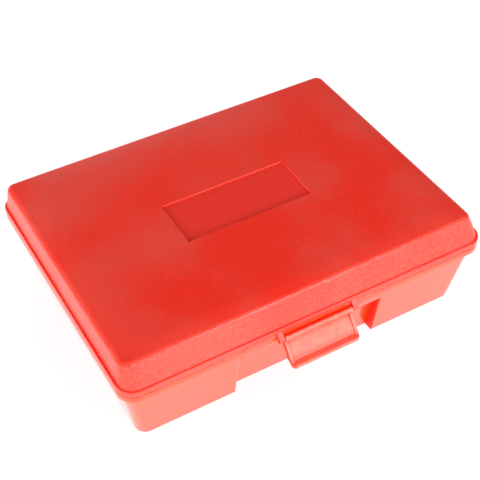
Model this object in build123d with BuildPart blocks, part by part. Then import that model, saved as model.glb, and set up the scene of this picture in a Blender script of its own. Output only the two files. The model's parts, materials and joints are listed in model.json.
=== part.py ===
from build123d import *
import math
import os

os.makedirs("parts", exist_ok=True)

# A moulded case for ten pairs of steel parallels. All sizes are in millimetres.
# The origin is the centre of the base's underside. X runs along the long front
# side, Y to the back, where the hinges are, and Z up.

# Rim: the flanges of base and lid that meet at the parting line
rim_length = 200.0
rim_width = 151.3
rim_corner_radius = 9.2
base_height = 39.2
base_flange_height = 3.5
lid_flange_height = 3.5
parting_gap = 0.15
parting_edge_radius = 0.35
rim_edge_radius = 0.6

# Base walls lean outwards from the foot to the flange
base_wall = 2.2
base_floor = 2.4
base_wall_inset = 2.6
base_foot_set_in = 6.0
base_top_corner_radius = 7.5
base_foot_corner_radius = 6.0
base_foot_edge_radius = 0.5

# Lid walls lean inwards from the flange to the top
lid_wall = 2.0
lid_top = 2.4
lid_wall_inset = 1.2
lid_top_set_in = 3.3
lid_corner_radius = 8.0
lid_edge_radius = 4.5

# Tongue under the lid that drops inside the base's wall
tongue_depth = 2.0
tongue_wall = 1.2
tongue_clearance = 0.35

# Sunk panel in the lid's top where a label would go
label_length = 70.0
label_width = 29.0
label_depth = 0.8
label_edge_radius = 0.25

# Finger recess in the front of the base, under the latch
recess_length = 79.2
recess_depth = 5.2
recess_edge_radius = 0.8
ledge_height = 7.5
ledge_slit_width = 1.1
ledge_slit_top_margin = 1.8
ledge_slit_depth = 0.9

# Latch tab: a sloping plate under a pivot barrel, with a rib along each side and
# a lip for the finger
latch_length = 37.5
latch_side_gap = 0.4
latch_axis_reach = 1.55
latch_axis_drop = 2.0
latch_barrel_radius = 1.3
latch_neck_gap = 0.35
latch_neck_thickness = 1.1
latch_neck_drop = 3.6
latch_plate_thickness = 2.2
latch_plate_run = 6.4
latch_plate_fall = 6.9
latch_bend_radius = 1.2
latch_lip_reach = 2.8
latch_lip_droop = 1.0
latch_lip_thickness = 2.1
latch_lip_corner_radius = 2.0
latch_lip_edge_radius = 0.7
latch_rib_thickness = 1.5
latch_rib_rise = 1.0
latch_rib_depth = 3.5
latch_rib_foot_rise = 1.9
latch_pocket_depth = 0.2
latch_pocket_rise = 1.2
latch_pocket_drop = 2.9

# Catch bead on the latch's back, which reaches under the base's flange
catch_length = 28.0
catch_reach = 1.3
catch_height = 1.3
catch_clearance = 0.3

# Ears on the lid's flange, each a boss round the latch's pin
ear_width = 2.8
ear_clearance = 0.2
ear_boss_radius = 1.3
ear_rise = 1.7

# Latch pin, set a little inside the ears' ends
latch_pin_radius = 0.75
latch_pin_inset = 0.3

# Two hinges along the back, each with a knuckle of the lid between two of the base
hinge_end_distance = 40.0
hinge_knuckle_radius = 3.0
hinge_rim_gap = 0.4
hinge_knuckle_gap = 0.3
base_knuckle_length = 8.0
lid_knuckle_length = 12.0
hinge_pin_radius = 1.25
hinge_pin_inset = 0.5
lid_open_angle = 110.0
stop_slack_angle = 0.8
stop_tail_length = 4.6
stop_tail_thickness = 2.2

# Clearances of a pin that is held fast and of one that turns
held_clearance = 0.03
running_clearance = 0.06

# Parallels: pairs of ground bars, all of one length and thickness
bar_length = 152.4
bar_thickness = 3.175
lowest_bar_height = 12.7
bar_height_step = 3.175
bar_height_count = 10
bars_per_height = 2
bar_edge_chamfer = 0.3

# Racks: two slotted strips on the floor, which the bars stand in and reach past
bar_overhang = 18.2
rack_width = 12.0
rack_height = 11.5
rack_slot_floor = 1.5
rack_slot_clearance = 0.25
rack_slot_lead_in = 0.6
rack_wall_gap = 0.4
rack_end_margin = 2.8

# Foam pad glued under the lid's top, a little above the tallest bars
pad_end_margin = 11.5
pad_side_margin = 12.0
pad_thickness = 5.0
pad_corner_radius = 5.0
pad_glue_gap = 0.2
bar_headroom = 2.9

# Places that follow from the sizes above
flange_bottom = base_height - base_flange_height
recess_height = flange_bottom - ledge_height
lid_flange_foot = base_height + parting_gap
lid_flange_top = lid_flange_foot + lid_flange_height
bar_heights = [lowest_bar_height + bar_height_step * step for step in range(bar_height_count)]
bar_foot = base_floor + rack_slot_floor
pad_top = bar_foot + max(bar_heights) + bar_headroom + pad_thickness
case_top = pad_top + pad_glue_gap + lid_top
front = -rim_width / 2
back = rim_width / 2
base_lean_per_height = base_foot_set_in / flange_bottom
lid_wall_rise = case_top - lid_flange_top
lid_draft_angle = math.degrees(math.atan2(lid_top_set_in, lid_wall_rise))
latch_y = front - latch_axis_reach
latch_z = base_height - latch_axis_drop
hinge_y = back + hinge_rim_gap + hinge_knuckle_radius
hinge_z = base_height
hinge_spread = rim_length - 2 * hinge_end_distance
hinge_length = lid_knuckle_length + 2 * base_knuckle_length + 2 * hinge_knuckle_gap


def base_wall_inset_at(height):
    """Distance of the base's outer wall inside the rim at a height above the foot."""
    return base_wall_inset + base_lean_per_height * (flange_bottom - height)


def base_corner_radius_at(height):
    """Corner radius of the base's outer wall at a height above the foot."""
    share = height / flange_bottom
    return base_foot_corner_radius + (base_top_corner_radius - base_foot_corner_radius) * share


def rounded_outline(inset, radius):
    """Draws the rim's rectangle, drawn in by an inset, in the sketch at hand."""
    RectangleRounded(rim_length - 2 * inset, rim_width - 2 * inset, radius)


def recess_profile(step_in, top):
    """Draws the finger recess from the side: in front of a wall line, up to a top."""
    wall_at_foot = front + base_wall_inset_at(0) + recess_depth + step_in
    wall_at_top = front + base_wall_inset_at(top) + recess_depth + step_in
    Polygon(
        (2 * front, 0),
        (wall_at_foot, 0),
        (wall_at_top, top),
        (2 * front, top),
        align=None,
    )


# The hollow of the base, which goes round the back of the finger recess
with BuildPart() as base_hollow:
    for height in (base_floor, base_height):
        with BuildSketch(Plane.XY.offset(height)):
            rounded_outline(
                base_wall_inset_at(height) + base_wall,
                base_corner_radius_at(height) - base_wall,
            )
    loft()
    with BuildSketch(Plane.YZ):
        recess_profile(base_wall, recess_height + base_wall)
    extrude(amount=recess_length / 2 + base_wall, both=True, mode=Mode.SUBTRACT)


def hinge_centres():
    """X of the middle of each hinge."""
    return (-hinge_spread / 2, hinge_spread / 2)


def base_knuckle_centres():
    """X of the middle of each of the base's four knuckles."""
    step = (lid_knuckle_length + base_knuckle_length) / 2 + hinge_knuckle_gap
    return [centre + side * step for centre in hinge_centres() for side in (-1, 1)]


def knuckle_profile(web_low, web_high):
    """Draws a knuckle from the side, with its web back to the rim."""
    with Locations((hinge_y, hinge_z)):
        Circle(hinge_knuckle_radius)
    web_start = back - base_wall_inset / 2
    with Locations(((web_start + hinge_y) / 2, (web_low + web_high) / 2)):
        Rectangle(hinge_y - web_start, web_high - web_low)


def make_flange(foot, height, foot_radius, top_radius):
    """A solid slab of the rim's outline, rounded along its foot and its top edge."""
    with BuildPart() as flange:
        with BuildSketch(Plane.XY.offset(foot)):
            rounded_outline(0, rim_corner_radius)
        extrude(amount=height)
        fillet(flange.faces().sort_by(Axis.Z)[0].edges(), foot_radius)
        fillet(flange.faces().sort_by(Axis.Z)[-1].edges(), top_radius)
    return flange


def recess_corner_edges(shell):
    """The two upright edges where the finger recess breaks through the front wall."""
    middle = recess_height / 2
    wall_y = front + base_wall_inset_at(middle)
    return shell.edges().filter_by(
        lambda edge: abs(abs((edge @ 0.5).X) - recess_length / 2) < recess_edge_radius / 4
        and abs((edge @ 0.5).Y - wall_y) < recess_depth / 4
        and edge.bounding_box().size.Z > middle
    )


with BuildPart() as base_shell:
    for height in (0, flange_bottom):
        with BuildSketch(Plane.XY.offset(height)):
            rounded_outline(base_wall_inset_at(height), base_corner_radius_at(height))
    loft()
    foot_edges = base_shell.faces().sort_by(Axis.Z)[0].edges()
    fillet(foot_edges, base_foot_edge_radius)
    add(make_flange(flange_bottom, base_flange_height, rim_edge_radius, parting_edge_radius).part)
    add(base_hollow.part, mode=Mode.SUBTRACT)
    # Finger recess
    with BuildSketch(Plane.YZ):
        recess_profile(0, recess_height)
    extrude(amount=recess_length / 2, both=True, mode=Mode.SUBTRACT)
    fillet(recess_corner_edges(base_shell), recess_edge_radius)
    # Narrow slit at the left end of the ledge over the recess
    slit_top = flange_bottom - ledge_slit_top_margin
    slit_back = front + base_wall_inset_at(slit_top) + ledge_slit_depth
    with BuildSketch(Plane.XY.offset(recess_height)):
        with Locations((-recess_length / 2, slit_back)):
            Rectangle(ledge_slit_width, -2 * front, align=(Align.MIN, Align.MAX))
    extrude(amount=slit_top - recess_height, mode=Mode.SUBTRACT)
    # Shallow pocket in the rim behind the latch's barrel
    with BuildSketch(Plane.XY.offset(base_height)):
        with Locations((0, front)):
            Rectangle(latch_length + 2 * latch_side_gap, 2 * latch_pocket_depth)
    extrude(amount=-latch_pocket_drop, mode=Mode.SUBTRACT)
    # Hinge knuckles
    for centre in base_knuckle_centres():
        with BuildSketch(Plane.YZ.offset(centre)):
            knuckle_profile(flange_bottom, base_height)
        extrude(amount=base_knuckle_length / 2, both=True)
    with BuildSketch(Plane.YZ):
        with Locations((hinge_y, hinge_z)):
            Circle(hinge_pin_radius + held_clearance)
    extrude(amount=rim_length / 2, both=True, mode=Mode.SUBTRACT)


def stop_tail_angle():
    """Direction of the tail on the lid's knuckle, from straight back, while closed.

    The tail's leading corner meets the back of the base's flange a little past
    the angle to which the lid opens.
    """
    corner_distance = math.hypot(stop_tail_length, stop_tail_thickness / 2)
    corner_lead = math.degrees(math.atan2(stop_tail_thickness / 2, stop_tail_length))
    meeting = math.degrees(math.acos((hinge_rim_gap + hinge_knuckle_radius) / corner_distance))
    return lid_open_angle + stop_slack_angle - 180 + meeting + corner_lead


def ear_centres():
    """X of the middle of each ear."""
    middle = latch_length / 2 + latch_side_gap + ear_width / 2
    return (-middle, middle)


def ear_profile():
    """Draws an ear from the side: a boss round the pin, drawn up to the lid's flange."""
    with Locations((latch_y, latch_z)):
        Circle(ear_boss_radius)
    with Locations((front + lid_wall_inset / 2, lid_flange_foot)):
        Rectangle(lid_wall_inset / 2, ear_rise, align=(Align.MAX, Align.MIN))
    make_hull()
    with Locations((front - ear_clearance, lid_flange_foot)):
        Rectangle(rim_width, base_height, align=(Align.MIN, Align.MAX), mode=Mode.SUBTRACT)


with BuildPart() as lid_shell:
    add(make_flange(lid_flange_foot, lid_flange_height, parting_edge_radius, rim_edge_radius).part)
    with BuildSketch(Plane.XY.offset(lid_flange_top)):
        rounded_outline(lid_wall_inset, lid_corner_radius)
    extrude(amount=lid_wall_rise, taper=lid_draft_angle)
    top_edges = lid_shell.faces().sort_by(Axis.Z)[-1].edges()
    fillet(top_edges, lid_edge_radius)
    # Tongue and hollow
    tongue_foot = base_height - tongue_depth
    tongue_step = base_wall + tongue_clearance
    tongue_inset = base_wall_inset_at(tongue_foot) + tongue_step
    tongue_radius = base_corner_radius_at(tongue_foot) - tongue_step
    with BuildSketch(Plane.XY.offset(tongue_foot)):
        rounded_outline(tongue_inset, tongue_radius)
    extrude(amount=lid_flange_foot - tongue_foot)
    with BuildSketch(Plane.XY.offset(tongue_foot)):
        rounded_outline(tongue_inset + tongue_wall, tongue_radius - tongue_wall)
    extrude(amount=lid_flange_top - tongue_foot, mode=Mode.SUBTRACT)
    with BuildSketch(Plane.XY.offset(lid_flange_top)):
        rounded_outline(lid_wall_inset + lid_wall, lid_corner_radius - lid_wall)
    extrude(amount=lid_wall_rise - lid_top, taper=lid_draft_angle, mode=Mode.SUBTRACT)
    # Sunk label panel
    with BuildSketch(Plane.XY.offset(case_top)):
        Rectangle(label_length, label_width)
    extrude(amount=-label_depth, mode=Mode.SUBTRACT)
    label_edges = lid_shell.faces().sort_by(Axis.Z)[-1].inner_wires()[0].edges()
    fillet(label_edges, label_edge_radius)
    # Shallow pocket in the rim behind the latch's barrel
    with BuildSketch(Plane.XY.offset(base_height)):
        with Locations((0, front)):
            Rectangle(latch_length + 2 * latch_side_gap, 2 * latch_pocket_depth)
    extrude(amount=latch_pocket_rise, mode=Mode.SUBTRACT)
    # Ears for the latch's pin
    for centre in ear_centres():
        with BuildSketch(Plane.YZ.offset(centre)):
            ear_profile()
        extrude(amount=ear_width / 2, both=True)
    with BuildSketch(Plane.YZ):
        with Locations((latch_y, latch_z)):
            Circle(latch_pin_radius + held_clearance)
    extrude(amount=rim_length / 2, both=True, mode=Mode.SUBTRACT)
    # Hinge knuckles with the tails that stop the open lid
    for centre in hinge_centres():
        with BuildSketch(Plane.YZ.offset(centre)):
            knuckle_profile(lid_flange_foot, hinge_z + hinge_knuckle_radius)
            with Locations((hinge_y, hinge_z)):
                with PolarLocations(stop_tail_length / 2, 1, start_angle=stop_tail_angle()):
                    Rectangle(stop_tail_length, stop_tail_thickness)
        extrude(amount=lid_knuckle_length / 2, both=True)
    with BuildSketch(Plane.YZ):
        with Locations((hinge_y, hinge_z)):
            Circle(hinge_pin_radius + running_clearance)
    extrude(amount=rim_length / 2, both=True, mode=Mode.SUBTRACT)


# Corners of the latch, from the side
neck_back_y = front - latch_neck_gap
neck_front_y = neck_back_y - latch_neck_thickness
plate_top_z = latch_z - latch_neck_drop
plate_foot_y = neck_front_y - latch_plate_run
plate_foot_z = plate_top_z - latch_plate_fall
plate_slope = math.hypot(latch_plate_run, latch_plate_fall)
plate_back_dy = latch_plate_thickness * latch_plate_fall / plate_slope
plate_back_dz = -latch_plate_thickness * latch_plate_run / plate_slope
neck_foot_shift = (latch_neck_thickness - plate_back_dy) * latch_plate_fall / latch_plate_run
neck_foot_z = plate_top_z + plate_back_dz + neck_foot_shift
lip_end_y = plate_foot_y - latch_lip_reach
lip_top_z = plate_foot_z - latch_lip_droop
lip_under_z = lip_top_z - latch_lip_thickness
rib_end_y = lip_end_y + latch_lip_corner_radius
rib_end_z = lip_top_z + latch_lip_droop * latch_lip_corner_radius / latch_lip_reach


def make_latch_tab():
    """The tab: barrel, neck, sloping plate, lip and a rib along each side."""
    half = latch_length / 2
    with BuildPart() as latch_tab:
        with BuildSketch(Plane.YZ) as profile:
            bend = (plate_foot_y, plate_foot_z)
            back_bend = (plate_foot_y + plate_back_dy, plate_foot_z + plate_back_dz)
            Polygon(
                (neck_front_y, latch_z),
                (neck_front_y, plate_top_z),
                bend,
                (lip_end_y, lip_top_z),
                (lip_end_y, lip_under_z),
                (plate_foot_y, lip_under_z),
                back_bend,
                (neck_back_y, neck_foot_z),
                (neck_back_y, latch_z),
                align=None,
            )
            fillet(profile.vertices().sort_by_distance(bend)[0], latch_bend_radius)
            fillet(profile.vertices().sort_by_distance(back_bend)[0], latch_bend_radius)
        extrude(amount=half, both=True)
        end_edges = latch_tab.edges().filter_by(Axis.Z).group_by(Axis.Y)[0]
        fillet(end_edges, latch_lip_corner_radius)
        end_face = latch_tab.faces().filter_by(Axis.Y).sort_by(Axis.Y)[0]
        fillet(end_face.edges().filter_by(Axis.X), latch_lip_edge_radius)
        # Ribs, proud of the plate in front and deeper than it behind
        for side in (-1, 1):
            with BuildSketch(Plane.YZ.offset(side * (half - latch_rib_thickness / 2))):
                Polygon(
                    (neck_front_y, plate_top_z + latch_rib_rise),
                    (rib_end_y, rib_end_z),
                    (rib_end_y, lip_under_z + latch_lip_edge_radius),
                    (plate_foot_y + latch_rib_depth, lip_under_z + latch_rib_foot_rise),
                    (neck_back_y, plate_top_z),
                    align=None,
                )
            extrude(amount=latch_rib_thickness / 2, both=True)
        with BuildSketch(Plane.YZ):
            with Locations((latch_y, latch_z)):
                Circle(latch_barrel_radius)
        extrude(amount=half, both=True)
        with BuildSketch(Plane.YZ):
            with Locations((latch_y, latch_z)):
                Circle(latch_pin_radius + running_clearance)
        extrude(amount=half, both=True, mode=Mode.SUBTRACT)
    return latch_tab


def make_latch_catch():
    """The catch bead, seated on the latch's neck and reaching under the flange."""
    top = flange_bottom - catch_clearance
    with BuildPart() as latch_catch:
        with BuildSketch(Plane.YZ):
            Polygon(
                (neck_back_y, top),
                (neck_back_y + catch_reach, top),
                (neck_back_y + catch_reach, top - catch_height / 3),
                (neck_back_y, top - catch_height),
                align=None,
            )
        extrude(amount=catch_length / 2, both=True)
    return latch_catch


def make_latch_pin():
    """The latch's pin: a plain shaft through both ears."""
    end = latch_length / 2 + latch_side_gap + ear_width - latch_pin_inset
    with BuildPart() as latch_pin:
        with BuildSketch(Plane.YZ):
            with Locations((latch_y, latch_z)):
                Circle(latch_pin_radius)
        extrude(amount=end, both=True)
        chamfer(latch_pin.faces().filter_by(Axis.X).edges(), latch_pin_inset / 2)
    return latch_pin


def make_hinge_pin(centre):
    """A plain hinge pin, set a little inside the outer knuckles' ends."""
    with BuildPart() as hinge_pin:
        with BuildSketch(Plane.YZ.offset(centre)):
            with Locations((hinge_y, hinge_z)):
                Circle(hinge_pin_radius)
        extrude(amount=hinge_length / 2 - hinge_pin_inset, both=True)
        chamfer(hinge_pin.faces().filter_by(Axis.X).edges(), hinge_pin_inset / 2)
    return hinge_pin


# The bars stand in the middle of the clear floor between recess and back wall
bar_count = len(bar_heights) * bars_per_height
floor_inset = base_wall_inset_at(base_floor) + base_wall
floor_front = front + floor_inset + recess_depth
floor_back = back - floor_inset
rack_middle = (floor_front + floor_back) / 2
rack_spread = bar_length - 2 * bar_overhang
rack_length = floor_back - floor_front - 2 * rack_wall_gap
rack_pitch = (rack_length - 2 * rack_end_margin - bar_thickness) / (bar_count - 1)


def make_rack(centre):
    """A slotted strip across the floor, with a lead-in at each slot's mouth."""
    slot_half = bar_thickness / 2 + rack_slot_clearance
    rack_top = base_floor + rack_height
    lead_foot = rack_top - rack_slot_lead_in
    with BuildPart() as rack:
        with BuildSketch(Plane.XY.offset(base_floor)):
            with Locations((centre, rack_middle)):
                Rectangle(rack_width, rack_length)
        extrude(amount=rack_height)
        with BuildSketch(Plane.YZ.offset(centre)):
            with Locations((rack_middle, 0)):
                with GridLocations(rack_pitch, 0, bar_count, 1):
                    Polygon(
                        (-slot_half, bar_foot),
                        (slot_half, bar_foot),
                        (slot_half, lead_foot),
                        (slot_half + rack_slot_lead_in, rack_top),
                        (-slot_half - rack_slot_lead_in, rack_top),
                        (-slot_half, lead_foot),
                        align=None,
                    )
        extrude(amount=rack_width / 2, both=True, mode=Mode.SUBTRACT)
    return rack


def make_bar(place, height):
    """A parallel on edge in the slot of that place, counted from the front."""
    middle = rack_middle + (place - (bar_count - 1) / 2) * rack_pitch
    with BuildPart() as bar:
        with BuildSketch(Plane.XY.offset(bar_foot)):
            with Locations((0, middle)):
                Rectangle(bar_length, bar_thickness)
        extrude(amount=height)
        chamfer(bar.edges().filter_by(Axis.X), bar_edge_chamfer)
    return bar


def make_foam_pad():
    """The pad under the lid's top that keeps the bars down when the case is carried."""
    wall_inset = lid_wall_inset + lid_top_set_in + lid_wall
    with BuildPart() as foam_pad:
        with BuildSketch(Plane.XY.offset(pad_top)):
            RectangleRounded(
                rim_length - 2 * (wall_inset + pad_end_margin),
                rim_width - 2 * (wall_inset + pad_side_margin),
                pad_corner_radius,
            )
        extrude(amount=-pad_thickness)
    return foam_pad


def save(piece, name):
    """Labels a finished piece and writes it to its own file."""
    piece.part.label = name
    export_step(piece.part, f"parts/{name}.step")


save(base_shell, "base_shell")
save(lid_shell, "lid_shell")
save(make_latch_tab(), "latch_tab")
save(make_latch_catch(), "latch_catch")
save(make_latch_pin(), "latch_pin")
for side_name, side_sign in (("left", -1), ("right", 1)):
    save(make_hinge_pin(side_sign * hinge_spread / 2), f"hinge_pin_{side_name}")
    save(make_rack(side_sign * rack_spread / 2), f"rack_{side_name}")
save(make_foam_pad(), "foam_pad")
for number, height in enumerate(bar_heights, start=1):
    for copy in range(bars_per_height):
        place = (number - 1) * bars_per_height + copy
        save(make_bar(place, height), f"parallel_{number:02d}_{'ab'[copy]}")
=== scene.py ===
"""Looks of a moulded case for steel parallels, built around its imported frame.

Everything is in metres and in the frame's axes: X runs along the case's front,
Y from the latch to the hinges and Z up.
"""

import json
import logging
import math
from collections.abc import Callable, Iterable
from dataclasses import dataclass
from enum import Enum

import bpy
from mathutils import Euler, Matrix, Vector


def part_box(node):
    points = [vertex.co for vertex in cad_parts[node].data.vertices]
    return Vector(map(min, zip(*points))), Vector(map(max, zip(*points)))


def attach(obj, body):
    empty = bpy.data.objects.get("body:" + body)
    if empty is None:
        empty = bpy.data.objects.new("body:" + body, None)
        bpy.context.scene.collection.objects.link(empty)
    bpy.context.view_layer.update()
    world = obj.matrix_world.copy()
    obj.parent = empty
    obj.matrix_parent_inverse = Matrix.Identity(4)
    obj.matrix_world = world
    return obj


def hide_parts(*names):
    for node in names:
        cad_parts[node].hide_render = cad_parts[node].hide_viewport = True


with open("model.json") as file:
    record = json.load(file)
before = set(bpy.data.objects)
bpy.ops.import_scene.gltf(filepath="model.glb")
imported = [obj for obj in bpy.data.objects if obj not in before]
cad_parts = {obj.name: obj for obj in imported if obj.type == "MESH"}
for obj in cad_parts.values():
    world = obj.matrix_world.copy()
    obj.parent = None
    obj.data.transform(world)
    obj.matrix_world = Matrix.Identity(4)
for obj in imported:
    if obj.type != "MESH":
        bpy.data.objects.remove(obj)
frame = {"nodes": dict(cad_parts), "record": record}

MM = 0.001
POLYPROPYLENE_IOR = 1.49
POLYSTYRENE_IOR = 1.55
NOISE_MIDDLE = (0.3, 0.7)
Colour = tuple[float, float, float, float]
Point = tuple[float, float, float]

log = logging.getLogger("parallel_case")


class Body(Enum):
    """The frame's bodies that a piece can ride on."""

    BASE = "base"
    LID = "lid"
    LATCH = "latch"


def linear(hex_colour: str) -> Colour:
    """Turns an sRGB hex colour into linear RGBA.

    Args:
        hex_colour: Six hex digits after a hash.

    Returns:
        The colour as four linear values, with alpha 1.
    """
    parts = [int(hex_colour[i : i + 2], 16) / 255 for i in (1, 3, 5)]
    red, green, blue = (
        part / 12.92 if part <= 0.04045 else ((part + 0.055) / 1.055) ** 2.4 for part in parts
    )
    return (red, green, blue, 1.0)


def per_metre(size_mm: float) -> float:
    """Texture scale that gives a feature of this size on Object coordinates."""
    return 1.0 / (size_mm * MM)


def add_node(
    tree: bpy.types.NodeTree,
    kind: str,
    inputs: dict[str | int, object] | None = None,
    **settings: object,
) -> bpy.types.Node:
    """Adds one shader node.

    Args:
        tree: The node tree that it goes into.
        kind: The node's type, as Blender names it.
        inputs: A value or another node's output for each input named or counted.
        **settings: Properties of the node.

    Returns:
        The new node.
    """
    node = tree.nodes.new(kind)
    for name, value in settings.items():
        setattr(node, name, value)
    for socket, value in (inputs or {}).items():
        if isinstance(value, bpy.types.NodeSocket):
            tree.links.new(value, node.inputs[socket])
        else:
            node.inputs[socket].default_value = value
    return node


@dataclass(frozen=True)
class Finish:
    """What all finishes share: a name, a colour and a way to start a material."""

    name: str
    colour: str

    def start(self) -> tuple[bpy.types.Material, bpy.types.NodeTree, bpy.types.NodeSocket]:
        """Starts an empty material.

        Returns:
            The material, its node tree and its Object coordinates.
        """
        material = bpy.data.materials.new(self.name)
        material.use_nodes = True
        tree = material.node_tree
        tree.nodes.clear()
        place = add_node(tree, "ShaderNodeTexCoord").outputs["Object"]
        return material, tree, place

    def close(self, tree: bpy.types.NodeTree, shader: bpy.types.NodeSocket) -> None:
        """Links the finished shader to the material's output."""
        add_node(tree, "ShaderNodeOutputMaterial", {"Surface": shader})


@dataclass(frozen=True)
class GrainedPolypropylene(Finish):
    """Red polypropylene, injection moulded against a spark-eroded mould.

    The eye gets a fine even grain that breaks up every highlight, a satin sheen,
    and broad soft clouds of painted sheen, more of it towards the hinges.
    """

    # Colour of the painted sheen, which the clouds, the slope and the grain's glints mix in.
    painted_sheen_colour: str = "#DA4134"
    # Such a grain is about 0.2 mm wide. That is too fine to show, so it is drawn at 1.2 mm.
    grain_mm: float = 1.2
    grain_depth_mm: float = 0.5
    grain_middle: tuple[float, float] = (0.35, 0.65)
    grain_glint: float = 0.6
    steep_to_level: tuple[float, float] = (0.7, 0.995)
    level_grain: float = 0.4
    cloud_mm: float = 48.0
    cloud_detail: float = 2.5
    cloud_roughness: float = 0.45
    sheen_slope_reach_mm: float = 75.0
    sheen_slope: float = 0.3
    satin: tuple[float, float] = (0.34, 0.46)
    coat: float = 0.5
    coat_roughness: float = 0.25
    edge_radius_mm: float = 0.25

    def build(self) -> bpy.types.Material:
        """Makes the material.

        Returns:
            The finished material.
        """
        material, tree, place = self.start()
        clouds = add_node(
            tree,
            "ShaderNodeTexNoise",
            {
                "Vector": place,
                "Scale": per_metre(self.cloud_mm),
                "Detail": self.cloud_detail,
                "Roughness": self.cloud_roughness,
            },
        )
        # Painted sheen in broad clouds.
        sheen_clouds = add_node(
            tree,
            "ShaderNodeMapRange",
            {
                "Value": clouds.outputs["Fac"],
                "From Min": NOISE_MIDDLE[0],
                "From Max": NOISE_MIDDLE[1],
            },
            interpolation_type="SMOOTHSTEP",
        )
        along = add_node(tree, "ShaderNodeSeparateXYZ", {"Vector": place})
        # Painted sheen that grows from the latch side to the hinge side.
        sheen_slope = add_node(
            tree,
            "ShaderNodeMapRange",
            {
                "Value": along.outputs["Y"],
                "From Min": -self.sheen_slope_reach_mm * MM,
                "From Max": self.sheen_slope_reach_mm * MM,
                "To Min": -self.sheen_slope,
                "To Max": self.sheen_slope,
            },
        )
        sheen_share = add_node(
            tree, "ShaderNodeMath", {0: sheen_clouds.outputs[0], 1: sheen_slope.outputs[0]}, operation="ADD"
        )
        facing = add_node(tree, "ShaderNodeTexCoord").outputs["Normal"]
        upwards = add_node(tree, "ShaderNodeSeparateXYZ", {"Vector": facing})
        depth = add_node(
            tree,
            "ShaderNodeMapRange",
            {
                "Value": upwards.outputs["Z"],
                "From Min": self.steep_to_level[0],
                "From Max": self.steep_to_level[1],
                "To Min": 1.0,
                "To Max": self.level_grain,
            },
        )
        grain = add_node(
            tree,
            "ShaderNodeTexNoise",
            {"Vector": place, "Scale": per_metre(self.grain_mm), "Detail": 2.0, "Roughness": 0.6},
        )
        # Pale marks in the grain: partly the grain's own tone and partly painted glints, stronger
        # on steep walls.
        grain_glint = add_node(
            tree,
            "ShaderNodeMapRange",
            {
                "Value": grain.outputs["Fac"],
                "From Min": self.grain_middle[0],
                "From Max": self.grain_middle[1],
                "To Min": -self.grain_glint,
                "To Max": self.grain_glint,
            },
        )
        # Share of painted sheen and painted glints at each spot.
        uneven = add_node(
            tree,
            "ShaderNodeMath",
            {0: grain_glint.outputs[0], 1: depth.outputs[0], 2: sheen_share.outputs[0]},
            operation="MULTIPLY_ADD",
            use_clamp=True,
        )
        tint = add_node(
            tree,
            "ShaderNodeMix",
            {0: uneven.outputs[0], 6: linear(self.colour), 7: linear(self.painted_sheen_colour)},
            data_type="RGBA",
        )
        sheen = add_node(
            tree,
            "ShaderNodeMapRange",
            {
                "Value": clouds.outputs["Fac"],
                "From Min": NOISE_MIDDLE[0],
                "From Max": NOISE_MIDDLE[1],
                "To Min": self.satin[0],
                "To Max": self.satin[1],
            },
        )
        rounded = add_node(
            tree, "ShaderNodeBevel", {"Radius": self.edge_radius_mm * MM}, samples=4
        )
        grained = add_node(
            tree,
            "ShaderNodeBump",
            {
                "Strength": depth.outputs[0],
                "Distance": self.grain_depth_mm * MM,
                "Height": grain.outputs["Fac"],
                "Normal": rounded.outputs["Normal"],
            },
        )
        plastic = add_node(
            tree,
            "ShaderNodeBsdfPrincipled",
            {
                "Base Color": tint.outputs[2],
                "Roughness": sheen.outputs[0],
                "IOR": POLYPROPYLENE_IOR,
                "Coat Weight": self.coat,
                "Coat Roughness": self.coat_roughness,
                "Normal": grained.outputs["Normal"],
            },
        )
        self.close(tree, plastic.outputs["BSDF"])
        return material


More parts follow.
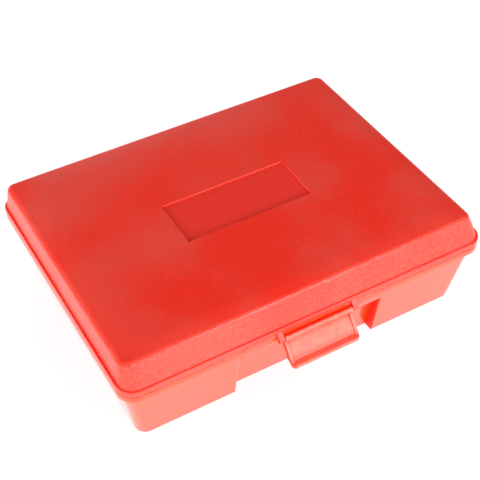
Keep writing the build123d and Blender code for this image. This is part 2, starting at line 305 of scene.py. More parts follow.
@dataclass(frozen=True)
class PolishedPolypropylene(Finish):
    """Red polypropylene, injection moulded against a polished mould.

    The eye gets a clean gloss, slightly uneven over broad thin walls, and light
    enters the thin wall and comes out again. Creases and gaps get painted shade,
    a deep red mixed into the colour, and a thin piece gets a painted glow in its
    gaps. A bend gets painted shade as a deeper colour round it. In painted shade
    the coat and the mirrored light are lessened too.

    Walls that turn to the left can be made deeper past a place. That stands in for
    the photograph's shade on them, which the lamps here don't give, and isn't a
    property of the plastic.
    """

    # Colour of the painted shade in creases, gaps, the bend and shaded walls, and of the painted
    # glow.
    crease_shade_colour: str = "#E62812"
    crease_shade_reach_mm: float = 8.0
    open_from: float = 0.55
    open_to: float = 0.8
    # A thin moulded wall sinks and swells over about 30 mm, which shows at its real size.
    wave_mm: float = 30.0
    wave_depth_mm: float = 0.6
    wave_strength: float = 0.3
    gloss_roughness: float = 0.22
    gloss_spread: tuple[float, float] = (-0.04, 0.06)
    coat: float = 1.0
    coat_roughness: float = 0.12
    mirroring: float = 0.5
    glow: float = 0.3
    glow_reach_mm: float = 2.5
    glow_radius: Point = (1.0, 0.35, 0.2)
    # Strength of a painted glow in shaded gaps.
    gap_glow: float = 0.0
    mottle: float = 0.0
    mottle_middle: tuple[float, float] = (0.35, 0.6)
    # Height of a bend that gets painted shade.
    bend_mm: float | None = None
    bend_fade_mm: tuple[float, float] = (0.6, 1.7)
    bend_shade_share: float = 0.35
    shaded_past_mm: tuple[float, float] | None = None
    shaded_share: float = 0.15
    shaded_fade_mm: float = 1.0
    shaded_turn: tuple[float, float] = (-0.15, -0.35)
    edge_radius_mm: float = 0.25

    def build(self) -> bpy.types.Material:
        """Makes the material.

        Returns:
            The finished material.
        """
        material, tree, place = self.start()
        waves = add_node(
            tree,
            "ShaderNodeTexNoise",
            {"Vector": place, "Scale": per_metre(self.wave_mm), "Detail": 1.5},
        )
        gloss = add_node(
            tree,
            "ShaderNodeMapRange",
            {
                "Value": waves.outputs["Fac"],
                "From Min": NOISE_MIDDLE[0],
                "From Max": NOISE_MIDDLE[1],
                "To Min": self.gloss_roughness + self.gloss_spread[0],
                "To Max": self.gloss_roughness + self.gloss_spread[1],
            },
        )
        rounded = add_node(
            tree, "ShaderNodeBevel", {"Radius": self.edge_radius_mm * MM}, samples=4
        )
        wavy = add_node(
            tree,
            "ShaderNodeBump",
            {
                "Strength": self.wave_strength,
                "Distance": self.wave_depth_mm * MM,
                "Height": waves.outputs["Fac"],
                "Normal": rounded.outputs["Normal"],
            },
        )
        # Ambient occlusion finds the creases and gaps that get painted shade.
        room = add_node(
            tree,
            "ShaderNodeAmbientOcclusion",
            {"Distance": self.crease_shade_reach_mm * MM},
            samples=8,
            only_local=not self.gap_glow,
        )
        in_open = add_node(
            tree,
            "ShaderNodeMapRange",
            {
                "Value": room.outputs["AO"],
                "From Min": self.open_from,
                "From Max": self.open_to,
            },
            interpolation_type="SMOOTHSTEP",
        )
        share = in_open.outputs[0]
        if self.shaded_past_mm:
            share = self.shade_end(tree, place, share)
        paler = share
        if self.mottle:
            paler = self.mottle_share(tree, waves.outputs["Fac"], paler)
        if self.bend_mm:
            paler = self.shade_bend(tree, place, paler)
        # Mixes the painted shade colour in where the share is low.
        tint = add_node(
            tree,
            "ShaderNodeMix",
            {0: paler, 6: linear(self.crease_shade_colour), 7: linear(self.colour)},
            data_type="RGBA",
        )
        # The coat and the mirrored light are lessened in the painted shade too.
        coat = add_node(tree, "ShaderNodeMath", {0: paler, 1: self.coat}, operation="MULTIPLY")
        mirroring = add_node(
            tree, "ShaderNodeMath", {0: share, 1: self.mirroring}, operation="MULTIPLY"
        )
        plastic = add_node(
            tree,
            "ShaderNodeBsdfPrincipled",
            {
                "Base Color": tint.outputs[2],
                "Roughness": gloss.outputs[0],
                "IOR": POLYPROPYLENE_IOR,
                "Subsurface Weight": self.glow,
                "Subsurface Radius": self.glow_radius,
                "Subsurface Scale": self.glow_reach_mm * MM,
                "Specular IOR Level": mirroring.outputs[0],
                "Coat Weight": coat.outputs[0],
                "Coat Roughness": self.coat_roughness,
                "Normal": wavy.outputs["Normal"],
            },
        )
        # A painted glow in the shaded gaps, in the shade's colour.
        if self.gap_glow:
            glow_in_gaps = add_node(
                tree,
                "ShaderNodeMapRange",
                {"Value": in_open.outputs[0], "To Min": self.gap_glow, "To Max": 0.0},
            )
            plastic.inputs["Emission Color"].default_value = linear(self.crease_shade_colour)
            tree.links.new(glow_in_gaps.outputs[0], plastic.inputs["Emission Strength"])
        self.close(tree, plastic.outputs["BSDF"])
        return material

    def mottle_share(
        self, tree: bpy.types.NodeTree, noise: bpy.types.NodeSocket, share: bpy.types.NodeSocket
    ) -> bpy.types.NodeSocket:
        """Lets the share of pale colour vary over the piece, as streaks in thin plastic do.

        Args:
            tree: The material's node tree.
            noise: The noise that it follows.
            share: How far each spot is in the open.

        Returns:
            The same share, lessened in patches.
        """
        mottled = add_node(
            tree,
            "ShaderNodeMapRange",
            {
                "Value": noise,
                "From Min": self.mottle_middle[0],
                "From Max": self.mottle_middle[1],
                "To Min": 1.0 - self.mottle,
            },
        )
        return add_node(
            tree, "ShaderNodeMath", {0: share, 1: mottled.outputs[0]}, operation="MULTIPLY"
        ).outputs[0]

    def shade_bend(
        self, tree: bpy.types.NodeTree, place: bpy.types.NodeSocket, share: bpy.types.NodeSocket
    ) -> bpy.types.NodeSocket:
        """Paints shade, as a deeper colour, round the height of the piece's bend.

        Args:
            tree: The material's node tree.
            place: The material's Object coordinates.
            share: How far each spot is in the open.

        Returns:
            The same share, lessened round the bend.
        """
        height = add_node(tree, "ShaderNodeSeparateXYZ", {"Vector": place})
        above = add_node(
            tree,
            "ShaderNodeMath",
            {0: height.outputs["Z"], 1: self.bend_mm * MM},
            operation="SUBTRACT",
        )
        apart = add_node(tree, "ShaderNodeMath", {0: above.outputs[0]}, operation="ABSOLUTE")
        unshaded_off_bend = add_node(
            tree,
            "ShaderNodeMapRange",
            {
                "Value": apart.outputs[0],
                "From Min": self.bend_fade_mm[0] * MM,
                "From Max": self.bend_fade_mm[1] * MM,
                "To Min": self.bend_shade_share,
            },
            interpolation_type="SMOOTHSTEP",
        )
        return add_node(
            tree, "ShaderNodeMath", {0: share, 1: unshaded_off_bend.outputs[0]}, operation="MULTIPLY"
        ).outputs[0]

    def shade_end(
        self, tree: bpy.types.NodeTree, place: bpy.types.NodeSocket, share: bpy.types.NodeSocket
    ) -> bpy.types.NodeSocket:
        """Makes walls that turn to the left, past a place, deeper in colour.

        Args:
            tree: The material's node tree.
            place: The material's Object coordinates.
            share: How far each spot is in the open.

        Returns:
            The same share, lessened on those walls.
        """
        spot = add_node(tree, "ShaderNodeSeparateXYZ", {"Vector": place})
        facing = add_node(
            tree,
            "ShaderNodeSeparateXYZ",
            {"Vector": add_node(tree, "ShaderNodeTexCoord").outputs["Normal"]},
        )
        past_x, before_y = self.shaded_past_mm
        limits = (
            (spot.outputs["X"], past_x * MM, (past_x + self.shaded_fade_mm) * MM),
            (spot.outputs["Y"], (before_y + self.shaded_fade_mm) * MM, before_y * MM),
            (facing.outputs["X"], *self.shaded_turn),
        )
        walled: bpy.types.NodeSocket | None = None
        for value, start, end in limits:
            inside = add_node(
                tree, "ShaderNodeMapRange", {"Value": value, "From Min": start, "From Max": end}
            ).outputs[0]
            if walled:
                inside = add_node(
                    tree, "ShaderNodeMath", {0: walled, 1: inside}, operation="MULTIPLY"
                ).outputs[0]
            walled = inside
        outside = add_node(
            tree,
            "ShaderNodeMapRange",
            {"Value": walled, "To Min": 1.0, "To Max": self.shaded_share},
        )
        return add_node(
            tree, "ShaderNodeMath", {0: share, 1: outside.outputs[0]}, operation="MULTIPLY"
        ).outputs[0]


@dataclass(frozen=True)
class BlackPolystyrene(Finish):
    """Black high-impact polystyrene, moulded with a fine matt grain.

    The eye gets a dark strip with a faint grey sheen on its edges.
    """

    # Such a grain is about 0.1 mm wide. That is too fine to show, so it is drawn at 0.5 mm.
    grain_mm: float = 0.5
    grain_depth_mm: float = 0.05
    grain_strength: float = 0.35
    matt: tuple[float, float] = (0.42, 0.62)

    def build(self) -> bpy.types.Material:
        """Makes the material.

        Returns:
            The finished material.
        """
        material, tree, place = self.start()
        grain = add_node(
            tree,
            "ShaderNodeTexNoise",
            {"Vector": place, "Scale": per_metre(self.grain_mm), "Detail": 3.0},
        )
        rough = add_node(
            tree,
            "ShaderNodeMapRange",
            {"Value": grain.outputs["Fac"], "To Min": self.matt[0], "To Max": self.matt[1]},
        )
        bump = add_node(
            tree,
            "ShaderNodeBump",
            {
                "Strength": self.grain_strength,
                "Distance": self.grain_depth_mm * MM,
                "Height": grain.outputs["Fac"],
            },
        )
        plastic = add_node(
            tree,
            "ShaderNodeBsdfPrincipled",
            {
                "Base Color": linear(self.colour),
                "Roughness": rough.outputs[0],
                "IOR": POLYSTYRENE_IOR,
                "Normal": bump.outputs["Normal"],
            },
        )
        self.close(tree, plastic.outputs["BSDF"])
        return material


@dataclass(frozen=True)
class Steel(Finish):
    """Steel that was ground or drawn along X.

    The eye gets a grey metal whose reflections are drawn out by fine lines along
    its length, and whose lines scatter a part of the light as a dull grey.
    """

    # Grinding and drawing leave lines of a few hundredths of a millimetre. Those are too
    # fine to show, so they are drawn at a quarter of a millimetre, and the wire's at 0.4.
    line_mm: float = 0.25
    line_depth_mm: float = 0.012
    line_strength: float = 0.4
    width_to_length: float = 0.012
    # Colour of the painted shade in the lines' grooves.
    groove_shade_colour: str = "#8F9092"
    roughness: float = 0.34
    roughness_spread: tuple[float, float] = (-0.06, 0.1)
    # A clean metal's value is 1. The lower one gives the dull grey that soft lamps show.
    metallic: float = 0.7

    def build(self) -> bpy.types.Material:
        """Makes the material.

        Returns:
            The finished material.
        """
        material, tree, place = self.start()
        stretched = add_node(
            tree,
            "ShaderNodeMapping",
            {"Vector": place, "Scale": (self.width_to_length, 1.0, 1.0)},
        )
        lines = add_node(
            tree,
            "ShaderNodeTexNoise",
            {
                "Vector": stretched.outputs["Vector"],
                "Scale": per_metre(self.line_mm),
                "Detail": 3.0,
                "Roughness": 0.65,
            },
        )
        shade = add_node(
            tree,
            "ShaderNodeMix",
            {0: lines.outputs["Fac"], 6: linear(self.groove_shade_colour), 7: linear(self.colour)},
            data_type="RGBA",
        )
        rough = add_node(
            tree,
            "ShaderNodeMapRange",
            {
                "Value": lines.outputs["Fac"],
                "To Min": self.roughness + self.roughness_spread[0],
                "To Max": self.roughness + self.roughness_spread[1],
            },
        )
        bump = add_node(
            tree,
            "ShaderNodeBump",
            {
                "Strength": self.line_strength,
                "Distance": self.line_depth_mm * MM,
                "Height": lines.outputs["Fac"],
            },
        )
        metal = add_node(
            tree,
            "ShaderNodeBsdfPrincipled",
            {
                "Base Color": shade.outputs[2],
                "Metallic": self.metallic,
                "Roughness": rough.outputs[0],
                "Normal": bump.outputs["Normal"],
            },
        )
        self.close(tree, metal.outputs["BSDF"])
        return material


@dataclass(frozen=True)
class ClosedCellFoam(Finish):
    """Charcoal polyethylene foam, cut from sheet.

    The eye gets small round cells, some open where the knife cut them, with painted
    shade in their hollows, and a dull dusty surface.
    """

    # Cells of such foam are from 0.3 to 1 mm wide. They are drawn at 1.1 mm, so that they show.
    cell_mm: float = 1.1
    cell_depth_mm: float = 0.25
    cell_strength: float = 0.7
    # Colour of the painted shade in the cells' hollows.
    cell_shade_colour: str = "#1B1C1E"
    roughness: float = 0.92
    dust: float = 0.25

    def build(self) -> bpy.types.Material:
        """Makes the material.

        Returns:
            The finished material.
        """
        material, tree, place = self.start()
        cells = add_node(
            tree,
            "ShaderNodeTexVoronoi",
            {"Vector": place, "Scale": per_metre(self.cell_mm)},
            feature="SMOOTH_F1",
        )
        tint = add_node(
            tree,
            "ShaderNodeMix",
            {0: cells.outputs["Distance"], 6: linear(self.cell_shade_colour), 7: linear(self.colour)},
            data_type="RGBA",
        )
        bump = add_node(
            tree,
            "ShaderNodeBump",
            {
                "Strength": self.cell_strength,
                "Distance": self.cell_depth_mm * MM,
                "Height": cells.outputs["Distance"],
            },
        )
        foam = add_node(
            tree,
            "ShaderNodeBsdfPrincipled",
            {
                "Base Color": tint.outputs[2],
                "Roughness": self.roughness,
                "Sheen Weight": self.dust,
                "Normal": bump.outputs["Normal"],
            },
        )
        self.close(tree, foam.outputs["BSDF"])
        return material


def dress(node: str, material: bpy.types.Material) -> bpy.types.Object:
    """Gives a CAD node a material in each of its slots.

    Args:
        node: The CAD node's name.
        material: What it is made of.

    Returns:
        The node's object.
    """
    shell = frame["nodes"][node]
    if not shell.data.materials:
        shell.data.materials.append(material)
    for place in range(len(shell.data.materials)):
        shell.data.materials[place] = material
    return shell


def add_block(name: str, low: Vector, high: Vector) -> bpy.types.Object:
    """Adds a plain block as the start of a piece, alone in the selection.

    Args:
        name: The piece's name.
        low: Its lowest corner.
        high: Its highest corner.

    Returns:
        The block, with its place and size in its mesh.
    """
    bpy.ops.object.select_all(action="DESELECT")
    bpy.ops.mesh.primitive_cube_add(size=1.0)
    block = bpy.context.active_object
    block.name = name
    block.location = (low + high) / 2
    block.scale = high - low
    bpy.ops.object.transform_apply(location=True, rotation=True, scale=True)
    return block


def select_edges(piece: bpy.types.Object, wanted: Callable[[Vector, Vector], bool]) -> None:
    """Selects edges of a piece by the places of their two ends, and enters edit mode.

    Args:
        piece: The piece, which is active.
        wanted: Says of an edge's two ends whether the edge is wanted.
    """
    bpy.ops.object.mode_set(mode="EDIT")
    bpy.ops.mesh.select_mode(type="EDGE")
    bpy.ops.mesh.select_all(action="DESELECT")
    bpy.ops.object.mode_set(mode="OBJECT")
    points = piece.data.vertices
    for edge in piece.data.edges:
        one, other = (points[corner].co for corner in edge.vertices)
        edge.select = wanted(one, other)
    bpy.ops.object.mode_set(mode="EDIT")


def slice_across(axis: int, places: Iterable[float]) -> None:
    """Cuts the mesh in edit mode across an axis, so that it can bend there.

    Args:
        axis: 0 for X or 1 for Y.
        places: Where the cuts go along it, in metres.
    """
    normal = tuple(float(place == axis) for place in range(3))
    for place in places:
        bpy.ops.mesh.select_all(action="SELECT")
        bpy.ops.mesh.bisect(plane_co=tuple(place * part for part in normal), plane_no=normal)


def push(piece: bpy.types.Object, direction: str, amounts: dict[int, float]) -> None:
    """Moves vertices of a piece along an axis, each by its own amount.

    Args:
        piece: The piece, which is active.
        direction: The axis, X, Y or Z.
        amounts: The move for each vertex's number, in metres.
    """
    for sign in (1.0, -1.0):
        part = {number: sign * amount for number, amount in amounts.items() if sign * amount > 0.0}
        if not part:
            continue
        most = max(part.values())
        group = piece.vertex_groups.new(name="pushed")
        for number, amount in part.items():
            group.add([number], amount / most, "REPLACE")
        move = piece.modifiers.new("push", "DISPLACE")
        move.direction = direction
        move.vertex_group = group.name
        move.strength = sign * most
        move.mid_level = 0.0
        bpy.ops.object.modifier_apply(modifier=move.name)


def steps_between(low: float, high: float, step: float) -> list[float]:
    """Even places between two ends, without the ends, about a step apart."""
    count = max(2, round((high - low) / step))
    return [low + (high - low) * number / count for number in range(1, count)]


@dataclass
class BaseAssembly:
    """The base shell with its hinge pins, the slotted racks and the steel bars."""

    shell_finish: PolishedPolypropylene = PolishedPolypropylene(
        "polished_polypropylene", "#E83B18", coat=0.85, shaded_past_mm=(34.0, -64.0)
    )
    rack_finish: BlackPolystyrene = BlackPolystyrene("matt_polystyrene", "#2A2B2D")
    bar_finish: Steel = Steel("ground_steel", "#C9CACC")
    pin_finish: Steel = Steel("drawn_steel_wire", "#B9BABC", line_mm=0.4, roughness=0.3)

    def build(self) -> list[bpy.types.Object]:
        """Dresses all pieces of the base.

        Returns:
            The pieces.
        """
        plastic = self.shell_finish.build()
        rack = self.rack_finish.build()
        steel = self.bar_finish.build()
        wire = self.pin_finish.build()
        pieces = [dress("base_shell", plastic)]
        for node in frame["record"]["behaviour"]["bodies"][Body.BASE.value]:
            if node.startswith("rack"):
                pieces.append(dress(node, rack))
            elif node.startswith("parallel"):
                pieces.append(dress(node, steel))
            elif node.startswith("hinge_pin"):
                pieces.append(dress(node, wire))
        return pieces


@dataclass
class FoamPad:
    """The pad under the lid, cut from foam sheet with softened edges.

    Its faces wander a little between the knife cuts, as a soft sheet's do.
    """

    front_trim: float = 1.6 * MM
    corner_radius: float = 5.0 * MM
    edge_radius: float = 1.1 * MM
    wave_size: float = 16.0 * MM
    wave_depth: float = 0.5 * MM
    slice_step: float = 5.0 * MM
    smooth_below_deg: float = 40.0
    fill: float = 0.9
    finish: ClosedCellFoam = ClosedCellFoam("closed_cell_foam", "#3C3D40")

    def build(self) -> bpy.types.Object:
        """Models the pad in the space of its solid.

        Returns:
            The finished pad.
        """
        low, high = (Vector(corner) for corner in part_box("foam_pad"))
        low.y += self.front_trim
        pad = add_block("foam_pad_sheet", low, high)
        select_edges(pad, lambda one, other: abs(one.z - other.z) > self.edge_radius)
        bpy.ops.mesh.bevel(offset=self.corner_radius, segments=8, affect="EDGES")
        bpy.ops.object.mode_set(mode="OBJECT")
        select_edges(pad, lambda one, other: abs(one.z - other.z) < self.edge_radius)
        bpy.ops.mesh.bevel(offset=self.edge_radius, segments=3, affect="EDGES")
        slice_across(0, steps_between(low.x, high.x, self.slice_step))
        slice_across(1, steps_between(low.y, high.y, self.slice_step))
        bpy.ops.object.mode_set(mode="OBJECT")
        waves = bpy.data.textures.new("foam_waves", "CLOUDS")
        waves.noise_scale = self.wave_size
        bend = pad.modifiers.new("waves", "DISPLACE")
        bend.texture = waves
        bend.texture_coords = "GLOBAL"
        bend.strength = self.wave_depth
        bend.mid_level = 1.0
        bpy.ops.object.modifier_apply(modifier=bend.name)
        bpy.ops.object.shade_smooth_by_angle(angle=math.radians(self.smooth_below_deg))
        pad.data.materials.append(self.finish.build())
        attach(pad, Body.LID.value)
        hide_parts("foam_pad")
        return pad


@dataclass(frozen=True)
class WallProfile:
    """One side of the lid in section: a leaning wall under a rounded edge.

    Distances run inwards from the wall's foot, and heights are the frame's.
    """

    foot: float
    top: float
    set_in: float
    radius: float

    @property
    def lean(self) -> float:
        """How far the wall comes in for each metre that it rises."""
        return self.set_in / (self.top - self.foot)

    @property
    def flat_start(self) -> float:
        """How far in the flat top starts.

        Returns:
            The distance from the wall's foot, in metres.
        """
        angle = math.atan(self.lean)
        rise = self.top - self.foot - self.radius
        return (self.radius + rise * math.sin(angle)) / math.cos(angle)

    def inwards(self, height: float) -> float:
        """Finds how far in the section is at a height.

        Args:
            height: The height, in metres.

        Returns:
            The distance from the wall's foot, in metres.
        """
        over = height - self.top + self.radius
        if over < self.radius * math.sin(math.atan(self.lean)):
            return (height - self.foot) * self.lean
        return self.flat_start - math.sqrt(max(self.radius**2 - over**2, 0.0))


@dataclass
class LidShell:
    """The lid's shell, with its moulding's finer shape over the plain solid.

    The solid leans in alike on all sides and is level up to its rounded edges.
    Here each side has a lean of its own and a tighter edge, the last few
    millimetres of the top bend down in an arc, and the sunk panel has a smooth
    floor.
    """

    wall_inset: float = 1.2 * MM
    flange_top: float = 42.85 * MM
    solid_set_in: float = 3.3 * MM
    solid_radius: float = 4.5 * MM
    edge_radius: float = 3.0 * MM
    set_ins: tuple[tuple[float, float], tuple[float, float]] = (
        (2.1 * MM, 4.4 * MM),
        (5.8 * MM, 3.8 * MM),
    )
    crown_reach: float = 9.0 * MM
    crown_radius: float = 80.0 * MM
    crown_corner: float = 12.0 * MM
    crown_steps: int = 6
    panel_depth: float = 0.8 * MM
    panel_half: tuple[float, float] = (35.0 * MM, 14.5 * MM)
    merge_distance: float = 0.01 * MM
    upward_normal: float = 0.05
    smooth_below_deg: float = 28.0
    skin: GrainedPolypropylene = GrainedPolypropylene("grained_polypropylene", "#E22A19")
    # The sunk panel's floor, with painted shade along its edges.
    panel: PolishedPolypropylene = PolishedPolypropylene(
        "smooth_polypropylene", "#DE3329", crease_shade_colour="#D42A22", gloss_roughness=0.4, coat=0.0
    )

    def build(self) -> bpy.types.Object:
        """Models the shell over its solid, which it replaces.

        Returns:
            The finished shell.
        """
        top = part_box("lid_shell")[1].z
        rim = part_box("base_shell")
        solid = WallProfile(self.flange_top, top, self.solid_set_in, self.solid_radius)
        foot = (rim[1].x - self.wall_inset, -rim[0].y - self.wall_inset)
        half = tuple(edge - solid.flat_start for edge in foot)
        shell = self.copy_solid()
        self.cut_border(half)
        moves = [self.lean_walls(shell, axis, foot[axis], solid) for axis in (0, 1)]
        moves.append(self.crown(shell, half, top))
        for direction, amounts in zip("XYZ", moves):
            push(shell, direction, amounts)
        bpy.ops.object.shade_smooth_by_angle(angle=math.radians(self.smooth_below_deg))
        even = shell.modifiers.new("even", "WEIGHTED_NORMAL")
        even.keep_sharp = True
        bpy.ops.object.modifier_apply(modifier=even.name)
        self.paint(shell, top)
        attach(shell, Body.LID.value)
        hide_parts("lid_shell")
        return shell

    def copy_solid(self) -> bpy.types.Object:
        """Copies the solid's mesh into a piece of its own, with its doubles merged.

        Returns:
            The copy, alone in the selection.
        """
        shell = bpy.data.objects.new("lid_shell_moulded", frame["nodes"]["lid_shell"].data.copy())
        bpy.context.scene.collection.objects.link(shell)
        bpy.ops.object.select_all(action="DESELECT")
        shell.select_set(True)
        bpy.context.view_layer.objects.active = shell
        bpy.ops.object.mode_set(mode="EDIT")
        bpy.ops.mesh.customdata_custom_splitnormals_clear()
        bpy.ops.mesh.select_all(action="SELECT")
        bpy.ops.mesh.remove_doubles(threshold=self.merge_distance)
        bpy.ops.object.mode_set(mode="OBJECT")
        return shell

    def cut_border(self, half: tuple[float, ...]) -> None:
        """Slices the shell along the border of its flat top, where it will bend.

        Args:
            half: Half the flat top's length and width.
        """
        bpy.ops.object.mode_set(mode="EDIT")
        for axis in (0, 1):
            for number in range(self.crown_steps + 1):
                inwards = self.crown_reach * number / self.crown_steps
                slice_across(axis, (half[axis] - inwards, inwards - half[axis]))
        bpy.ops.object.mode_set(mode="OBJECT")

    def lean_walls(
        self, shell: bpy.types.Object, axis: int, foot: float, solid: WallProfile
    ) -> dict[int, float]:
        """Works out how far the walls move so that each side gets its own section.

        Args:
            shell: The sliced shell.
            axis: 0 for the left and right sides or 1 for front and back.
            foot: Distance of the walls' feet from the middle.
            solid: The section that all sides of the solid share.

        Returns:
            The move along the axis for each vertex that moves.
        """
        sides = [
            WallProfile(solid.foot, solid.top, set_in, self.edge_radius)
            for set_in in self.set_ins[axis]
        ]
        moves = {}
        for point in shell.data.vertices:
            place = point.co[axis]
            fade = (solid.flat_start + self.crown_reach - foot + abs(place)) / self.crown_reach
            height = min(point.co.z, solid.top)
            if fade <= 0.0 or height <= solid.foot:
                continue
            side = sides[int(place > 0.0)]
            faces_out = point.normal.xy.dot(point.co.xy) > 0.0
            if faces_out or point.normal.z > self.upward_normal:
                move = side.inwards(height) - solid.inwards(height)
            else:
                move = (side.lean - solid.lean) * (height - solid.foot)
            moves[point.index] = -math.copysign(move * min(fade, 1.0), place * move)
        return moves

    def crown(
        self, shell: bpy.types.Object, half: tuple[float, ...], top: float
    ) -> dict[int, float]:
        """Works out how far the top's border and its rounded edge come down.

        Args:
            shell: The sliced shell.
            half: Half the flat top's length and width.
            top: Height of the flat top.

        Returns:
            The move along Z for each vertex that moves.
        """
        moves = {}
        for point in shell.data.vertices:
            height = (point.co.z - top + self.solid_radius) / self.solid_radius
            if point.normal.z < self.upward_normal or height <= 0.0:
                continue
            beyond = (
                max(abs(point.co[axis]) - half[axis] + self.crown_corner, 0.0) for axis in (0, 1)
            )
            past = math.hypot(*beyond)
            run = min(max(past - self.crown_corner + self.crown_reach, 0.0), self.crown_reach)
            drop = self.crown_radius - math.sqrt(self.crown_radius**2 - run**2)
            moves[point.index] = -min(height, 1.0) * drop
        return moves

    def paint(self, shell: bpy.types.Object, top: float) -> None:
        """Gives the shell its grained skin and the sunk panel's floor its smooth one.

        Args:
            shell: The bent shell.
            top: Height of the flat top.
        """
        shell.data.materials.clear()
        shell.data.materials.append(self.skin.build())
        shell.data.materials.append(self.panel.build())
        for face in shell.data.polygons:
            inside = all(abs(face.center[axis]) < self.panel_half[axis] for axis in (0, 1))
            sunk = abs(face.center.z - top + self.panel_depth) < self.merge_distance
            face.material_index = int(inside and sunk)


@dataclass
class LidAssembly:
    """The lid shell with its foam pad and the latch's pin."""

    pin_finish: PolishedPolypropylene = PolishedPolypropylene("pin_polypropylene", "#E4402F")

    def build(self) -> list[bpy.types.Object]:
        """Models or dresses all pieces of the lid.

        Returns:
            The pieces.
        """
        return [
            LidShell().build(),
            FoamPad().build(),
            dress("latch_pin", self.pin_finish.build()),
        ]


@dataclass
class LatchAssembly:
    """The latch tab and the catch bead on its back.

    The tab is thin and pale. Its fine waves stand in for the streaks that the
    photograph shows in it.
    """

    tab_finish: PolishedPolypropylene = PolishedPolypropylene(
        "thin_polypropylene",
        "#EC6252",
        crease_shade_colour="#E8341F",
        crease_shade_reach_mm=6.0,
        open_to=0.9,
        # Painted glow in its gaps, painted shade on faces that turn to the left and in the bend.
        gap_glow=0.35,
        shaded_past_mm=(-30.0, 0.0),
        shaded_share=0.4,
        mottle=0.4,
        bend_mm=26.9,
        wave_mm=3.5,
        gloss_roughness=0.34,
        coat=0.3,
    )

    def build(self) -> list[bpy.types.Object]:
        """Dresses the latch.

        Returns:
            The pieces.
        """
        plastic = self.tab_finish.build()
        return [dress("latch_tab", plastic), dress("latch_catch", plastic)]


@dataclass(frozen=True)
class Lamp:
    """A square soft lamp that faces the case.

    Only a lamp that is mirrored is seen in gloss, so that the low lamps light the
    walls without showing as squares in them.
    """

    name: str
    place: Point
    size: float
    power: float
    mirrored: bool = False

    def hang(self) -> None:
        """Adds the lamp to the scene."""
        light = bpy.data.lights.new(self.name, "AREA")
        light.shape = "SQUARE"
        light.size = self.size
        light.energy = self.power
        holder = bpy.data.objects.new(self.name, light)
        bpy.context.scene.collection.objects.link(holder)
        holder.location = self.place
        holder.rotation_euler = (-Vector(self.place)).to_track_quat("-Z", "Y").to_euler()
        holder.visible_glossy = self.mirrored


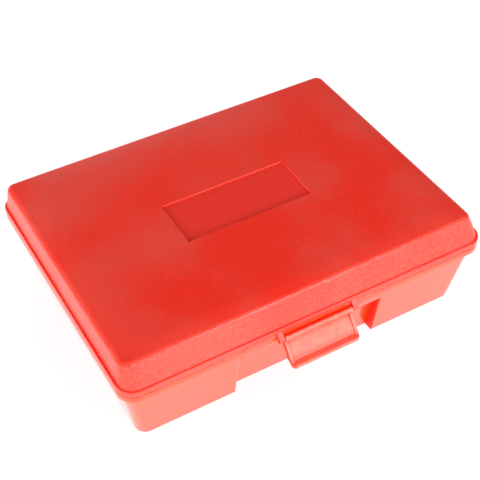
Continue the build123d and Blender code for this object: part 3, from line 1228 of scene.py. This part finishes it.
@dataclass
class Studio:
    """Plain pale floor, soft lamps and the camera."""

    floor_size: float = 6.0
    camera_place: Point = (-0.193891, -0.349491, 0.410295)
    camera_turn_deg: Point = (46.2393, 0.6276, -29.8034)
    camera_lens_mm: float = 79.58
    camera_sensor_mm: float = 36.0
    paper_colour: str = "#E6E6E6"
    paper_seen_colour: str = "#8C8C8C"
    paper_glow: float = 0.8
    zenith_level: float = 0.1
    horizon_level: float = 0.4
    zenith_from: float = 0.6
    lamps: tuple[Lamp, ...] = (
        Lamp("front_left_lamp", (-0.468, -1.159, 0.24), 0.46, 21.0),
        Lamp("front_right_lamp", (0.26, -1.223, 0.24), 0.46, 8.0),
        Lamp("left_lamp", (-1.25, 0.15, 0.24), 0.46, 20.5),
        Lamp("high_right_lamp", (0.8, -0.3, 1.1), 0.6, 5.7),
        Lamp("back_lamp", (0.25, 1.23, 0.3), 0.6, 12.0),
        Lamp("latch_lamp", (0.53, -1.04, 0.95), 0.35, 4.5, mirrored=True),
        Lamp("edge_lamp", (0.47, -1.15, 0.5), 0.2, 2.2, mirrored=True),
    )

    def build(self) -> None:
        """Makes floor, lamps, world and camera."""
        self.make_floor()
        self.make_world()
        for lamp in self.lamps:
            lamp.hang()
        self.make_camera()

    def make_floor(self) -> None:
        """Lays the floor: white to the camera, and still showing the shadow."""
        bpy.ops.object.select_all(action="DESELECT")
        bpy.ops.mesh.primitive_plane_add(size=self.floor_size, location=(0, 0, 0))
        floor = bpy.context.active_object
        floor.name = "floor"
        material = bpy.data.materials.new("white_paper_sweep")
        material.use_nodes = True
        tree = material.node_tree
        tree.nodes.clear()
        rays = add_node(tree, "ShaderNodeLightPath")
        seen = add_node(
            tree,
            "ShaderNodeMath",
            {0: rays.outputs["Is Camera Ray"], 1: rays.outputs["Is Glossy Ray"]},
            operation="MAXIMUM",
        )
        seen_through = add_node(
            tree,
            "ShaderNodeMath",
            {0: seen.outputs[0], 1: rays.outputs["Is Transmission Ray"]},
            operation="MAXIMUM",
        )
        paper = add_node(tree, "ShaderNodeBsdfDiffuse", {"Color": linear(self.paper_colour)})
        faint = add_node(
            tree, "ShaderNodeBsdfDiffuse", {"Color": linear(self.paper_seen_colour)}
        )
        glow = add_node(tree, "ShaderNodeEmission", {"Strength": self.paper_glow})
        white = add_node(
            tree, "ShaderNodeAddShader", {0: faint.outputs[0], 1: glow.outputs[0]}
        )
        both = add_node(
            tree,
            "ShaderNodeMixShader",
            {0: seen_through.outputs[0], 1: paper.outputs[0], 2: white.outputs[0]},
        )
        add_node(tree, "ShaderNodeOutputMaterial", {"Surface": both.outputs[0]})
        floor.data.materials.append(material)

    def make_world(self) -> None:
        """Surrounds the case with a tent that is bright low down and dim overhead."""
        world = bpy.data.worlds.new("light_tent")
        world.use_nodes = True
        bpy.context.scene.world = world
        tree = world.node_tree
        tree.nodes.clear()
        direction = add_node(tree, "ShaderNodeTexCoord").outputs["Generated"]
        height = add_node(tree, "ShaderNodeSeparateXYZ", {"Vector": direction}).outputs["Z"]
        level = add_node(
            tree,
            "ShaderNodeMapRange",
            {
                "Value": height,
                "From Min": 0.0,
                "From Max": self.zenith_from,
                "To Min": self.horizon_level,
                "To Max": self.zenith_level,
            },
            interpolation_type="SMOOTHSTEP",
        )
        tent = add_node(tree, "ShaderNodeBackground", {"Strength": level.outputs[0]})
        backdrop = add_node(tree, "ShaderNodeBackground", {"Strength": 1.0})
        rays = add_node(tree, "ShaderNodeLightPath")
        shown = add_node(
            tree,
            "ShaderNodeMixShader",
            {0: rays.outputs["Is Camera Ray"], 1: tent.outputs[0], 2: backdrop.outputs[0]},
        )
        add_node(tree, "ShaderNodeOutputWorld", {"Surface": shown.outputs[0]})

    def make_camera(self) -> None:
        """Puts the camera at the photograph's viewing angle."""
        lens = bpy.data.cameras.new("camera")
        lens.lens = self.camera_lens_mm
        lens.sensor_width = self.camera_sensor_mm
        camera = bpy.data.objects.new("camera", lens)
        bpy.context.scene.collection.objects.link(camera)
        camera.location = self.camera_place
        camera.rotation_euler = Euler([math.radians(turn) for turn in self.camera_turn_deg])
        bpy.context.scene.camera = camera


def main() -> None:
    """Builds the sub-assemblies and the studio."""
    logging.basicConfig(level=logging.INFO, format="%(message)s")
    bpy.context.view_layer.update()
    for assembly in (BaseAssembly(), LidAssembly(), LatchAssembly()):
        for piece in assembly.build():
            log.info("%s: %s", type(assembly).__name__, piece.name)
    Studio().build()
    bpy.context.scene.view_settings.view_transform = "Standard"


if __name__ == "__main__":
    main()
